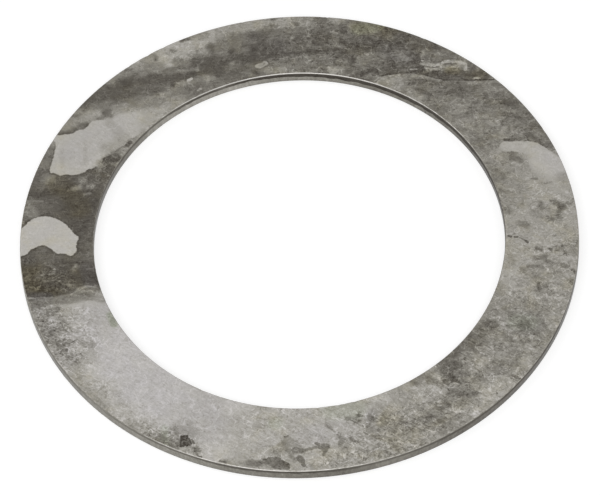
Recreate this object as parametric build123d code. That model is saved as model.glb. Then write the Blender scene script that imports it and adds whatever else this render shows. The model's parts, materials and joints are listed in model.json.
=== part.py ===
"""Shim ring, a flat steel spacer that sets the gap beside a bearing.

The ring is cut from sheet in one stroke of a compound die, so its rim and its bore carry the same
cut edge the same way up. From the bottom face to the top one, that edge is:

    die roll      where the sheet was drawn over the tool before it sheared
    land          the smooth upright band that the tool burnished, which sizes the diameter
    break         the rough band where the sheet tore, which leans back from the land
    broken edge   the corner that tumbling rounded when it took the burr off

Millimetres. Z is the ring's axis and points up through the burr side. The origin is the centre of
the bottom face, on which the ring rests.
"""

import os

from build123d import *

# The ring
RIM_DIAMETER = 72.0  # over the land of the rim
BORE_DIAMETER = 53.0  # over the land of the bore
THICKNESS = 1.75

# The cut edge, alike on the rim and in the bore
DIE_ROLL_WIDTH = 0.30  # across the bottom face
DIE_ROLL_HEIGHT = 0.18
BREAK_HEIGHT = 0.55  # from the top face down to the land
BREAK_LEAN = 0.03  # how far the break falls back from the land by the top face
EDGE_RADIUS = 0.06  # of the broken edge


def cut_edge(land_radius, metal_side):
    """Draws one cut edge and returns its ends on the bottom and top faces.

    metal_side is -1 where the metal lies towards the axis, as at the rim, and +1 in the bore.
    """
    die_roll = TangentArc(
        (land_radius + metal_side * DIE_ROLL_WIDTH, 0),
        (land_radius, DIE_ROLL_HEIGHT),
        tangent=(-metal_side, 0),
    )
    land = Line(die_roll @ 1, (land_radius, THICKNESS - BREAK_HEIGHT))
    tear = Line(land @ 1, (land_radius + metal_side * BREAK_LEAN, THICKNESS))
    return die_roll @ 0, tear @ 1


def ring_section():
    """The ring's section on one side of the axis, with radius along X and height along Y."""
    with BuildSketch() as section:
        with BuildLine():
            rim_foot, rim_head = cut_edge(RIM_DIAMETER / 2, metal_side=-1)
            bore_foot, bore_head = cut_edge(BORE_DIAMETER / 2, metal_side=+1)
            Line(bore_foot, rim_foot)
            Line(bore_head, rim_head)
        make_face()
        fillet(section.vertices().group_by(Axis.Y)[-1], EDGE_RADIUS)
    return section.sketch


def shim_ring():
    """The whole ring, its section turned about Z."""
    with BuildPart() as ring:
        with BuildSketch(Plane.XZ):
            add(ring_section())
        revolve(axis=Axis.Z)
    return ring.part


os.makedirs("parts", exist_ok=True)
export_step(shim_ring(), "parts/shim_ring.step")
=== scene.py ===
"""The looks of a blanked steel shim ring: stained rolled faces, sheared walls and tumbled edges.

Lengths are in millimetres until the mesh, the camera and the lamps are made, and angles are in degrees.
X runs along the strip that the ring was blanked from. Angles run anticlockwise from X, seen from above.
"""

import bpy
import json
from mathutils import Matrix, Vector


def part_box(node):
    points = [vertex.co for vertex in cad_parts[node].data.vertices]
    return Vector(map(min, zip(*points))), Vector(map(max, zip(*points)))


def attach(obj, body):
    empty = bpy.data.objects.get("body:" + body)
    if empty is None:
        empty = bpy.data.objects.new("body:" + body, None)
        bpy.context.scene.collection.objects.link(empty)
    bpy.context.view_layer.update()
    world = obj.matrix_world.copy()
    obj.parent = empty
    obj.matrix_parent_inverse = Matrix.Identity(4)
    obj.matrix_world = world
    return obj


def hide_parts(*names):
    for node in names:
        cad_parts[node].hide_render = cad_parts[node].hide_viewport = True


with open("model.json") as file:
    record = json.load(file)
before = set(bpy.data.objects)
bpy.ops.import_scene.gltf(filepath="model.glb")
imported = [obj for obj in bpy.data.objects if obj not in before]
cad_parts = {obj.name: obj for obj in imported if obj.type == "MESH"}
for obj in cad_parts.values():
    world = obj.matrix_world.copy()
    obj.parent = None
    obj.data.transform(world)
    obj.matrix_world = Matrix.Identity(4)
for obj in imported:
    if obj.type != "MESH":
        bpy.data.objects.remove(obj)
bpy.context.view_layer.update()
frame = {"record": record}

import json
import math

import bpy
import numpy as np
from mathutils import Matrix, Vector

MM = 0.001  # metres

# The ring, as its solid has it
NODE = "shim_ring"
mounts = {mount["name"]: mount for mount in frame["record"]["mounts"]}
RIM_RADIUS = mounts["rim"]["dims"]["r_mm"]
BORE_RADIUS = mounts["bore"]["dims"]["r_mm"]
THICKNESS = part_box(NODE)[1].z / MM
LAND_MIDDLE = mounts["bore"]["pos_m"][2] / MM
LAND_HEIGHT = mounts["bore"]["dims"]["length_mm"]
DIE_ROLL_HEIGHT = LAND_MIDDLE - LAND_HEIGHT / 2
BREAK_HEIGHT = THICKNESS - LAND_MIDDLE - LAND_HEIGHT / 2
DIE_ROLL_WIDTH = 0.30
BREAK_LEAN = 0.03
EDGE_RADIUS = 0.06

# Relief in the metal. Drifts are smooth random fields, given as strength and wavelength.
TEAR_DRIFTS = ((0.10, 7.0), (0.08, 2.2))  # of the break's height, as a share of it
PIT_DEPTH = 0.03
PIT_GROUND = 0.5  # how deep the break is on the whole, as a share of the pits
PIT_DRIFTS = ((0.4, 1.8), (0.4, 0.9))
TEAR_SEEDS = (21, 23)  # of the rim and of the bore
PIT_SEED = 31
# seed, number, depth and width of the knocks on the edges and of the dents in the faces
RIM_KNOCKS = (41, 26, (0.01, 0.05), (0.2, 0.5))
BORE_KNOCKS = (42, 16, (0.01, 0.05), (0.2, 0.5))
TOP_DENTS = (43, 24, (0.006, 0.02), (0.5, 1.4))
BOTTOM_DENTS = (44, 24, (0.006, 0.02), (0.5, 1.4))
KNOCK_SLANT = 0.7  # a knock pushes the edge down, and back into the metal, by this share of its depth
DENT_MARGIN = 1.0  # the middles of the dents keep this far from the rim and the bore

# Round the rim, as angle and value: the height of the break, and the tones of the land, the break and
# the edge, which hold painted light along with the steel's own tone
RIM_BREAKS = [
    (0, 0.5), (210, 0.52), (240, 0.48), (270, 0.5), (330, 0.52),
]
# painted shade: the land and the break are darker on the near side of the rim, most of all towards the near
# right
RIM_LANDS = [
    (0, 0.5), (90, 0.5), (180, 0.4), (210, 0.36), (225, 0.5), (240, 0.54), (255, 0.48), (268, 0.4),
    (278, 0.32), (285, 0.46), (295, 0.38), (303, 0.28), (315, 0.24), (330, 0.13), (348, 0.18),
]
RIM_TEARS = [
    (0, 0.5), (90, 0.4), (180, 0.4), (210, 0.42), (225, 0.54), (240, 0.33), (255, 0.24), (270, 0.14),
    (285, 0.32), (300, 0.25), (318, 0.18), (330, 0.13), (348, 0.24),
]
# painted highlight, with some rubbed wear: the edge is brightest on the near side, where it faces the key
# lamp
RIM_EDGES = [
    (0, 0.58), (60, 0.4), (90, 0.52), (120, 0.52), (150, 0.45), (180, 0.58), (210, 0.56), (234, 0.6),
    (240, 0.88), (255, 0.98), (262, 1.02), (270, 0.86), (280, 0.88), (288, 0.8), (300, 0.58), (330, 0.6),
]
# Round the bore, the same
BORE_BREAKS = [
    (0, 0.6), (30, 0.75), (45, 0.8), (60, 0.87), (75, 0.84), (90, 0.76), (105, 0.63), (120, 0.56),
    (135, 0.5), (180, 0.45), (270, 0.5), (330, 0.55),
]
BORE_LANDS = [
    (0, 0.04), (15, 0.06), (30, 0.2), (45, 0.4), (60, 0.44), (68, 0.4), (78, 0.56), (90, 0.52),
    (105, 0.64), (120, 0.62), (135, 0.54), (148, 0.3), (165, 0.16), (180, 0.3), (270, 0.5), (340, 0.3),
]
BORE_TEARS = [
    (0, 0.1), (15, 0.02), (60, 0.06), (90, 0.06), (106, 0.1), (110, 0.34), (114, 0.14), (120, 0.18),
    (135, 0.3), (150, 0.22), (165, 0.2), (180, 0.3), (270, 0.25), (345, 0.24),
]
# painted highlight, with some rubbed wear: the edge is brightest on the far side, where it faces the key
# lamp
BORE_EDGES = [
    (0, 0.24), (12, 0.4), (25, 0.62), (35, 0.8), (60, 1.05), (66, 1.2), (80, 1.14), (95, 1.36),
    (106, 1.2), (118, 1.1), (124, 0.78), (135, 0.64), (150, 0.4), (180, 0.4), (200, 0.46), (225, 0.6),
    (270, 0.6), (300, 0.54), (345, 0.4),
]

# The mesh
SEGMENTS = 900  # round the ring
TOP_ROWS = 46
BOTTOM_ROWS = 16
DIE_ROLL_ROWS = 4
LAND_ROWS = 5
BREAK_ROWS = 10
EDGE_ROWS = 4
MAP_STRIPS = 3  # the unrolled surface lies in the bake's map in this many strips
MAP_GAP = 0.004  # kept free round each strip, as a share of the map
FINISH_OF = {"bottom": 0, "top": 0, "die roll": 1, "land": 1, "break": 1, "edge": 2}

# Stains on the top face: tone, reach, feather, and then X and Y of each point along the path of the stain.
# Tone 0 is the darkest film and 1 the brightest steel. A stain is full up to its reach from the path,
# and fades out over its feather.
GROUND_TONE = 0.58
STAINS = [
    # the broad lie of the face, anticlockwise from the right
    (0.68, 4, 5, 31, -8, 31.3, 6),
    (0.5, 3, 5, 25, 14, 20, 21),
    (0.44, 3, 4, 24, 21, 22, 23),
    (0.29, 4, 4, 17, 28, 0, 31, -8, 30),
    (0.74, 1.6, 2.8, -9, 35.2, -14, 33, -18, 30.4),
    (0.66, 0.6, 2, -6, 35.6, 2, 35.9),
    (0.42, 1, 1.8, -21, 23.2, -17, 24.6, -12, 25.8),
    (0.62, 1.4, 2.4, -25, 20.6, -20, 19.3, -16, 21.2),
    (0.72, 0.8, 1.6, -20.5, 20.2, -18.8, 20.4),
    (0.26, 5.5, 1, -31, 9, -31, -2),
    (0.19, 5.5, 1, -31, -3, -31, -4),
    (0.66, 4.8, 1.2, -31, -13, -29, -17),
    (0.76, 0.8, 1.6, -28.4, -10.2, -26.4, -9.6),
    (0.82, 2.5, 3.5, -26.3, -10.5, -24.5, -15),
    (0.9, 3, 3.5, -23, -18, -19.5, -22, -15.5, -26),
    (0.83, 3, 4, -13, -28.5, -7, -28.5),
    (0.77, 4, 4, -4, -30, 2, -31),
    (0.78, 3, 4, 4, -30.5, 8, -29.5),
    (0.62, 3.5, 4, 13, -31, 17, -27, 19, -24),
    (0.54, 4, 5, 22, -22, 27, -15),
    # the film along the far side
    (0.22, 0.8, 1.3, -29, 21.7, -27, 23.3, -23, 25.4, -17, 26.9, -12, 28.2, -6, 29.3),
    (0.14, 0.9, 1.4, -6, 30.5, -4, 31.2, -3, 29.8),
    (0.19, 0.2, 0.8, -12, 28.7, -6, 29.4, 0, 30.1, 6, 30.3, 12, 30.6, 19, 30),
    (0.4, 0.8, 1.4, -7, 27.5, 0, 28.5, 6, 28.3, 11, 28.6),
    (0.21, 0.6, 1.4, 12, 31.5, 17, 30.3),
    (0.22, 0.3, 1, 9, 26, 14, 26.5, 19, 25.6, 24, 24.9),
    (0.38, 0.7, 1.4, -8, 32.8, -2, 33.2, 5, 33),
    (0.58, 0.8, 1.2, 11, 24.2, 13.5, 23),
    # the right
    (0.36, 1.8, 1.6, 32.5, 14.5, 30, 18, 28.6, 20),
    (0.36, 0.6, 1.8, 27, 21.5, 24, 22.8),
    (0.51, 1.2, 1.4, 24.7, 17.4, 26.4, 15.6),
    (0.72, 1, 2.4, 33, 10.5, 34.4, 7),
    (0.48, 0.5, 1.3, 25.6, 8.6, 24.4, 10.8, 23, 13),
    (0.58, 1.2, 1.6, 27.2, 3.8, 28.4, 8.6),
    (0.6, 0.7, 2, 31.5, -7, 30.5, -9),
    (0.72, 0.8, 1.6, 27, -7, 26.5, -9.5),
    # the near right
    (0.31, 0.9, 1.6, 21.5, -17.8, 23.2, -16),
    (0.31, 0.7, 1.2, 19.2, -19.4, 17.8, -21.3, 18.5, -23),
    (0.46, 0.6, 1.3, 19, -25, 17.3, -27.6, 16, -29.5),
    (0.5, 0.8, 1.4, 27.5, -15.3, 29, -15),
    (0.6, 0.5, 1.4, 22.6, -19.5, 21.4, -20.6),
    (0.74, 0.7, 1.6, 20.5, -28.2, 23.5, -26, 25.4, -24.2),
    (0.69, 1, 2, 8, -26, 11, -26, 16, -24.4),
    (0.58, 0.5, 1.4, 25.2, -12, 24.6, -15, 24, -17.2),
    # the near side
    (0.55, 0.8, 2.2, 9.6, -30.2, 11, -29.4, 13, -29.4),
    (0.72, 0.7, 1.4, -18.5, -29, -15.5, -30.5),
    (0.43, 0.4, 1, -19.2, -30.4, -16.2, -31.9),
    # the near left, by the rim
    (0.54, 0.6, 1.5, -33.6, -10, -32, -13.8, -30.8, -16.3),
    (0.64, 0.2, 1.2, -31.8, -16, -29.4, -20.6, -26.2, -24.8, -22.9, -27.8),
    # the dark film on the left
    (0.44, 0.4, 1.2, -34.8, 7, -34.6, 4.4),
    (0.41, 0.5, 0.8, -33.5, 13, -32.2, 16),
    (0.23, 0.5, 1, -25.6, 9.2, -24.2, 12),
    (0.15, 0.8, 1.6, -29.5, 8.3, -28, 4, -27.6, 8),
    (0.15, 0.4, 1.4, -35, -6.7, -30.5, -6.8),
    (0.28, 0.3, 1.2, -31, -1.8, -28, -2.2),
]

# Smaller spots and streaks, laid over the stains with less wander
SPOTS = [
    # above the bare patch on the left
    (0.3, 0.25, 0.4, -31, 18.4, -29.2, 18.5, -28.7, 18.9),
    (0.3, 0.35, 0.5, -28.7, 19.5, -27.2, 19.5),
    (0.56, 0.6, 0.6, -30, 19.6, -29, 20.1),
    (0.58, 0.5, 0.9, -27.8, 20.8, -26, 21.2, -22.6, 22),
    (0.36, 0.1, 0.3, -25.6, 20.5, -24.6, 20.9, -23.8, 20.8),
    (0.32, 0.2, 0.4, -24.8, 21.4, -24.2, 21.6),
    (0.34, 0.1, 0.25, -25.8, 21.7, -25.4, 21.6),
    (0.24, 0.3, 0.6, -28.6, 21.5, -26.8, 23, -24.5, 23.7),
    (0.44, 0.3, 0.6, -26.2, 22.4, -24.4, 22.6),
    # below it
    (0.46, 0.3, 0.5, -32.4, 11.3, -31.6, 11.2),
    (0.22, 0.2, 0.4, -31, 11.4, -31.2, 9),
    (0.46, 0.1, 0.35, -33.1, 10.7, -32.4, 10.4),
    (0.22, 0.4, 0.4, -29.8, 11, -29, 10.8),
    (0.08, 0.08, 0.25, -29.4, 9.95, -28.3, 9.85),
    (0.52, 0.2, 0.35, -28, 10.7, -27.5, 10.4),
    (0.52, 0.2, 0.4, -28.9, 9.2, -28.1, 9.5),
    (0.44, 0.15, 0.35, -27, 9.3, -26.4, 9.6),
    (0.48, 0.08, 0.25, -27.4, 8.2, -26.8, 8.4),
    (0.2, 0.12, 0.3, -27, 11.1, -26.2, 10.2),
    (0.26, 0.15, 0.3, -26.7, 12.5, -26.3, 12.4),
    (0.2, 0.45, 0.5, -24.8, 13.6, -23.4, 14),
    (0.14, 0.3, 0.6, -34.4, 8.6, -31.4, 8.6),
    # under the patch like a mitten
    (0.3, 0.4, 0.8, -33.4, -0.3, -32.8, -1.6),
    (0.33, 0.4, 0.8, -27, -0.2, -26.8, -1.4),
    (0.3, 0.04, 0.2, -33.5, -2, -32.5, -2),
    (0.28, 0.05, 0.22, -33.5, -2.6, -32.4, -2.6),
    (0.28, 0.05, 0.22, -33.4, -3.2, -32.4, -3.2),
    (0.36, 0.05, 0.22, -33.2, -3.8, -32.6, -3.8),
    (0.48, 0.05, 0.22, -32, -2.9, -31.4, -3.4, -31.9, -3.9),
    (0.5, 0.05, 0.22, -29.3, -3.7, -28.8, -2.9),
    (0.24, 0.6, 0.8, -35, -4.4, -33.2, -5.2),
    (0.46, 0.08, 0.25, -30.2, -5.2, -30, -5.3),
    (0.24, 0.08, 0.25, -30.8, -1.9, -27.4, -2.1),
    (0.14, 0.08, 0.25, -30.6, -2.4, -27.2, -2.6),
    (0.15, 0.85, 0.45, -35.6, -6.5, -30.5, -6.4, -28.7, -5.3, -27.2, -4.9, -25.4, -5.3),
    # the far side, from the left
    (0.12, 0.25, 0.5, -21.8, 26.1, -21.2, 25.9),
    (0.14, 0.06, 0.25, -22.8, 26.7, -21.9, 26.1),
    (0.2, 0.15, 0.5, -20, 26, -16, 26.5, -13.5, 27, -12, 27.6),
    (0.24, 0.08, 0.35, -16.2, 28, -13.6, 28.1),
    (0.52, 0.2, 0.35, -14.2, 27.5, -12.5, 27.8),
    (0.2, 0.8, 0.5, -11.2, 28.2, -10.9, 28.8),
    (0.44, 0.5, 0.6, -15.4, 25.2, -13, 25.4),
    (0.56, 0.2, 0.35, -15, 25.6, -14.4, 25.7),
    (0.56, 0.1, 0.25, -13.6, 25.8, -13.3, 25.5),
    (0.56, 0.25, 0.4, -11.2, 26.4, -10.6, 26.2),
    (0.24, 0.1, 0.25, -10.7, 25.9, -10.5, 25.7),
    (0.22, 0.12, 0.25, -15.8, 25.9, -15.7, 25.3),
    (0.56, 0.04, 0.22, -16.3, 25, -16.2, 23),
    (0.14, 0.05, 0.22, -9.9, 27.9, -9, 27.8),
    (0.14, 0.05, 0.22, -9.9, 27.2, -9, 27.1),
    (0.14, 0.05, 0.22, -9.8, 26.6, -9.1, 26.5),
    (0.56, 0.08, 0.25, -8, 27.6, -7.2, 27.8),
    (0.5, 0.06, 0.22, -8, 28.5, -7.7, 28.7),
    (0.58, 0.25, 0.4, -3.4, 27.2, -0.8, 27.1),
    (0.54, 0.25, 0.5, -0.4, 26.9, 0.4, 26.9),
    (0.48, 0.25, 0.5, 2.4, 26.8, 3.2, 26.8),
    (0.36, 0.35, 0.6, -6.8, 30.7, -6, 30.7),
    (0.74, 0.5, 0.8, -19.8, 29.9, -19, 30.2),
    (0.44, 0.3, 0.5, -20, 27.4, -19.4, 27.5),
    (0.68, 0.3, 0.6, -26.5, 21.3, -25.8, 21.3),
    (0.54, 0.25, 0.4, -28.5, 21.7, -28.1, 21.7),
    (0.18, 0.15, 0.35, -5, 27.1, -4.6, 26.8),
    (0.3, 0.3, 0.6, -10.6, 31.5, -10.3, 30.8),
    (0.44, 0.2, 0.5, -9.6, 30.6, -8.6, 30.3),
    (0.26, 0.4, 0.7, -5, 33.2, -3.6, 32.9),
    (0.32, 0.1, 0.3, -3.2, 34.5, -1.8, 34.2, -0.6, 34),
    (0.18, 0.12, 0.3, -11.8, 33.8, -11.6, 33.1),
    (0.2, 0.12, 0.25, -14.5, 32.8, -13.4, 33.1),
    (0.24, 0.12, 0.3, -8.7, 33.3, -8.3, 33.5),
    (0.24, 0.12, 0.3, -6.4, 34.4, -6, 34.1),
    (0.24, 0.08, 0.25, -6.4, 35.2, -6, 35),
    (0.26, 0.12, 0.3, -2.4, 35.7, -2, 35.7),
    (0.26, 0.15, 0.3, -19, 30.3, -18.7, 30.2),
    (0.36, 0.12, 0.3, -18.2, 30.5, -17.8, 29.8),
    (0.3, 0.15, 0.35, -21.8, 28.3, -21.2, 28.4),
    (0.78, 0.3, 0.6, -16.5, 32, -15.7, 31.9),
    (0.38, 0.15, 0.3, -15.8, 31.3, -15.4, 31.1),
    (0.42, 0.3, 0.6, -15, 29.4, -14, 28.8),
    (0.56, 0.5, 0.8, -12.6, 33.7, -11.6, 33.6),
    (0.38, 0.3, 0.6, -9.6, 31.5, -8.8, 31.3),
    (0.64, 0.5, 0.8, -9, 34.7, -5.2, 34.6, -3.6, 35.2),
    (0.5, 0.4, 0.7, -19.4, 22.4, -17.4, 22.9),
    (0.56, 0.35, 0.6, -1, 34.9, 0.2, 34.9),
    (0.18, 0.45, 0.7, -5.6, 29.2, -2.4, 30),
    (0.28, 0.4, 0.7, -7.8, 27, -6.2, 27.8),
    (0.32, 0.25, 0.5, -7, 26.5, -6.2, 26.2),
    (0.36, 0.6, 0.9, -13, 24.4, -10.6, 24.7),
    (0.16, 0.3, 0.5, -13.9, 26.9, -12.8, 27.2),
    (0.5, 0.45, 0.9, -19.4, 28.8, -17.6, 28.5),
    (0.34, 0.3, 0.6, -16.4, 27.6, -15.4, 28),
    (0.28, 0.5, 0.8, -20.6, 24.8, -18, 24.9),
    (0.5, 0.06, 0.22, -23.6, 22.3, -22.4, 22.4),
    (0.34, 0.06, 0.22, -24.6, 22.7, -22, 23),
    # the far side, on to the right
    (0.3, 0.2, 0.35, 0.6, 34.9, 0.9, 34.6),
    (0.36, 0.25, 0.5, 3.9, 35.2, 4.4, 34.2),
    (0.46, 0.5, 0.8, 8.4, 33.4, 11.3, 33.8),
    (0.22, 0.5, 0.7, 12.4, 32.8, 15.5, 32),
    (0.56, 0.35, 0.7, 5.6, 35.1, 7, 34.9),
    (0.26, 0.3, 0.6, 6.2, 29.2, 7.4, 29.4),
    (0.28, 0.9, 1.1, 1.5, 31.9, 4.4, 32),
    (0.1, 0.06, 0.25, 3.5, 30.05, 9, 30),
    (0.2, 0.35, 0.5, 10.2, 30.8, 11.4, 30.8, 11.7, 29.8),
    (0.1, 0.08, 0.25, 16.5, 30, 19, 30.2),
    (0.38, 0.15, 0.4, 1.6, 30.6, 4, 30.8, 6.6, 30.6),
    (0.44, 0.2, 0.5, 8, 31.8, 8.8, 31.6),
    (0.22, 0.12, 0.4, 8.2, 29.6, 8, 26.3),
    (0.18, 0.15, 0.3, 16.7, 29.4, 16.7, 26.4),
    (0.24, 0.5, 0.5, 13, 28.2, 13, 26.6),
    (0.42, 0.3, 0.5, 14.2, 28.5, 15.2, 28.3),
    (0.58, 0.4, 0.6, 5.2, 27, 6.2, 26.7),
    (0.5, 0.12, 0.35, 11.4, 26.6, 11.7, 26.4),
    (0.44, 0.3, 0.6, 9.4, 28.9, 11, 28.2),
    (0.5, 0.12, 0.35, 17.6, 29.2, 17.8, 28.3),
    (0.4, 0.5, 0.6, 18.2, 28.4, 19.4, 28.6),
    # the curl on the far right and the dark film round it
    (0.22, 0.35, 0.6, 15.2, 26, 19.2, 25.4, 22, 24.9, 25, 24.6),
    (0.54, 0.3, 0.4, 20.4, 26.3, 22.2, 26.3),
    (0.48, 0.2, 0.4, 22.9, 27.2, 24, 26.4),
    (0.18, 0.12, 0.25, 18.3, 26.5, 19, 26.5),
    (0.7, 0.1, 0.25, 17.2, 27.2, 18.6, 26.9, 19.6, 27, 20.5, 27.35, 21.8, 27.2, 22.7, 26.9),
    (0.66, 0.12, 0.25, 22.8, 26.8, 23, 25.8),
    (0.6, 0.06, 0.25, 17.4, 26.6, 18.3, 26.15, 19.2, 26.15, 19.8, 26.8),
    (0.46, 0.04, 0.22, 19.8, 26.6, 19.8, 25.6),
    (0.5, 0.05, 0.22, 21.2, 26.65, 21.9, 26.6),
    (0.62, 0.08, 0.25, 24, 24.4, 24.8, 24.3),
    (0.36, 0.4, 0.6, 20.5, 28.6, 22.2, 27.9),
    (0.26, 0.5, 0.6, 23.8, 26.4, 25.2, 25),
    (0.58, 0.12, 0.3, 23.3, 23.8, 24.6, 23.7),
    (0.3, 0.6, 0.8, 16.4, 24.4, 17.8, 23.4, 19.8, 23.3),
    (0.6, 0.4, 0.8, 15.2, 22.3, 16.3, 21.6),
    (0.3, 0.4, 0.6, 18.5, 24, 19.3, 24),
    (0.56, 0.4, 0.7, 27.2, 15.2, 28, 15),
    (0.62, 0.3, 0.6, 24.2, 11.6, 24.6, 11.2),
    (0.48, 0.3, 0.6, 26.9, 20.5, 27.3, 20.2),
    (0.48, 0.25, 0.5, 24.1, 26.4, 24.6, 26),
    (0.42, 0.3, 0.6, 8, 31.6, 8.6, 31.6),
    (0.24, 0.3, 0.6, 7.8, 25.8, 8.6, 26.6),
    (0.64, 0.4, 0.7, -1.2, 34.8, 0.2, 35.4),
    (0.38, 0.3, 0.6, 17.4, 20.6, 18.2, 19.8),
    (0.54, 0.35, 0.7, 14, 23, 15.2, 22.3),
    # the right, above the bare tongue
    (0.54, 0.3, 0.6, 21.4, 19.8, 22.2, 19.4),
    (0.36, 0.12, 0.4, 23.6, 19, 26.8, 18.6),
    (0.28, 0.3, 0.6, 27.6, 20.3, 29.2, 19.6),
    (0.5, 0.15, 0.35, 28.8, 18.7, 29, 18.5),
    (0.26, 0.1, 0.22, 27.4, 14.2, 29.2, 14.2),
    (0.36, 0.1, 0.3, 28.2, 16.2, 27.5, 14.8),
    (0.4, 0.25, 0.35, 32.4, 13.7, 33.1, 13.1),
    (0.38, 0.3, 0.5, 24.4, 14.3, 24.2, 13.2),
    (0.42, 0.15, 0.35, 25.4, 15.4, 25.6, 14.6),
    (0.56, 0.1, 0.3, 25.9, 15.8, 25.9, 13.2),
    (0.36, 0.15, 0.4, 23.8, 17.1, 24, 16.5),
    (0.62, 0.4, 0.7, 26, 12.4, 26.2, 11.4),
    # below the tongue
    (0.42, 0.15, 0.3, 27.6, 11.6, 28, 11.4),
    (0.36, 0.3, 0.45, 28.1, 11.2, 28.9, 10.8),
    (0.68, 0.3, 0.6, 29.6, 12.3, 30.4, 10.8),
    (0.34, 0.15, 0.35, 25.6, 9.3, 25.9, 9),
    (0.38, 0.15, 0.35, 26.6, 8.6, 26.7, 7.9),
    (0.4, 0.15, 0.35, 26.1, 6, 26.6, 5.9),
    (0.46, 0.06, 0.25, 30.5, 7.7, 31.1, 7.6),
    (0.5, 0.05, 0.25, 31.4, 6.9, 33, 6.9),
    (0.46, 0.2, 0.45, 34.2, 7.6, 34.8, 6.8),
    (0.4, 0.2, 0.4, 31.3, 3.6, 31.3, 3),
    (0.34, 0.25, 0.4, 32.9, 3.9, 33.6, 3.5, 34.2, 2.9),
    (0.36, 0.2, 0.4, 34.1, 2.6, 33.6, 2),
    (0.34, 0.15, 0.35, 32.2, 1.4, 32.8, 1.1, 33.7, 1.1),
    (0.62, 0.3, 0.5, 32.4, 2.4, 32.6, 2.2),
    (0.56, 0.3, 0.6, 30.4, 2.2, 31.2, 1.8),
    (0.36, 0.1, 0.3, 34.8, 3.5, 35.4, 3.5),
    (0.48, 0.25, 0.45, 26.9, 2.8, 27.1, 2.6),
    (0.5, 0.35, 0.5, 28.6, 0.6, 29.2, 0.3),
    (0.46, 0.3, 0.5, 26.8, -4.6, 27, -5.2),
    (0.34, 0.08, 0.25, 30.4, -3.4, 31.1, -3.8),
    (0.34, 0.15, 0.3, 32.3, -3.8, 33.3, -3.4),
    (0.34, 0.12, 0.3, 33.8, -4.4, 34.2, -4.5),
    (0.4, 0.2, 0.4, 30.2, -5, 31.2, -4.9),
    (0.38, 0.2, 0.35, 31.8, -5.6, 32.2, -6.1),
    (0.4, 0.15, 0.35, 29.2, -6.2, 30.8, -6.4),
    (0.4, 0.12, 0.3, 28.3, -6.5, 28.6, -7),
    (0.4, 0.2, 0.35, 33.7, -6.2, 34, -6.6),
    (0.28, 0.15, 0.3, 34.7, -7.1, 35, -7.6),
    (0.44, 0.3, 0.5, 29.9, -7.2, 30.2, -7.8),
    (0.38, 0.15, 0.35, 30.4, -9, 30.5, -9.6),
    (0.72, 0.3, 0.5, 28.6, -9.2, 29.4, -9.3),
    (0.36, 0.08, 0.25, 28.8, -9.9, 30.4, -9.95),
    (0.4, 0.12, 0.3, 31.4, -10.6, 32, -10.5),
    (0.32, 0.12, 0.3, 34.3, -8.7, 34.6, -9.2),
    (0.6, 0.05, 0.22, 27.4, -9.2, 29.2, -9),
    (0.57, 0.6, 1, 24.8, -9.2, 25, -10.6),
    (0.56, 0.4, 0.8, 35.4, -2.2, 35.2, -4),
    # the near right
    (0.68, 0.15, 0.4, 30.5, -11.1, 33.2, -11.3),
    (0.36, 0.3, 0.45, 23.3, -14.9, 24.3, -15.1),
    (0.66, 0.4, 0.7, 25.4, -15, 26, -14.8),
    (0.32, 0.2, 0.3, 27.3, -15.4, 27.8, -15.8),
    (0.4, 0.3, 0.5, 25.8, -17.2, 26.4, -18),
    (0.44, 0.3, 0.5, 28, -15, 28.6, -15.4),
    (0.34, 0.3, 0.4, 17.8, -22, 18.6, -22.8),
    (0.42, 0.3, 0.4, 18.4, -24.6, 17.8, -26.4, 17, -27.8),
    (0.46, 0.25, 0.4, 20, -25, 21.2, -25.4),
    (0.6, 0.2, 0.5, 20.8, -21, 21.2, -22.6),
    (0.5, 0.4, 0.8, 22.9, -21.9, 24.4, -21.2),
    (0.4, 0.3, 0.5, 20.4, -18.4, 21.2, -18.7),
    (0.4, 0.2, 0.4, 17.6, -22.8, 17.6, -23.4),
    (0.58, 0.3, 0.7, 13.6, -27, 14.6, -27.2),
    (0.7, 0.3, 0.5, 14.6, -24.8, 17, -25.2),
    (0.4, 0.25, 0.4, 15, -22.6, 16.4, -23.4),
    (0.34, 0.08, 0.25, 26.2, -22.8, 27, -23.4),
    (0.68, 0.15, 0.35, 28.3, -18.4, 28.8, -19.4),
    (0.66, 0.06, 0.22, 27.2, -21, 28.2, -21.4),
    (0.5, 0.4, 0.8, 13.8, -23.2, 14.9, -22.5),
    (0.55, 0.5, 0.9, 17.6, -30.8, 19.4, -29.8),
    (0.68, 0.5, 0.8, 28.2, -21, 28.9, -21.6),
    (0.79, 0.4, 0.8, 24.3, -25.6, 24.9, -26.1),
    (0.7, 0.4, 0.7, 28.5, -10.4, 29.2, -10.6),
    (0.66, 0.6, 0.9, 32, -14.6, 32.6, -15.4),
    (0.66, 0.4, 0.6, 30.4, -7.2, 31, -7.6),
    (0.4, 0.4, 0.6, 18.8, -25.2, 19.2, -25.8),
    # the near side
    (0.68, 0.9, 1.4, 3.8, -34.9, 7.2, -33.8),
    (0.38, 0.12, 0.3, 5, -28.2, 6, -28.7, 6.6, -28.8),
    (0.36, 0.12, 0.3, 6.4, -28, 6.8, -28.1),
    (0.8, 0.4, 1, 8.6, -25.6, 9.8, -25.4),
    (0.62, 0.08, 0.25, 2.4, -29.2, 3, -29.7, 3.3, -30.2),
    (0.46, 0.15, 0.3, 3.6, -30.6, 4.2, -31.4, 4, -32.1),
    (0.42, 0.12, 0.3, 5.4, -31.5, 6.2, -31.9),
    (0.62, 0.3, 0.6, -2.8, -31.2, -1.4, -32.2),
    (0.52, 0.2, 0.4, -3.2, -31.9, -2.2, -33.2, -1.9, -34.2),
    (0.8, 0.4, 0.3, -0.1, -33.9, 1.1, -33.8, 1.2, -35),
    (0.46, 0.25, 0.4, -7.6, -34.3, -5.2, -34.5, -3, -34.9),
    (0.66, 0.2, 0.4, -6.4, -28.8, -5.8, -29.1),
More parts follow.
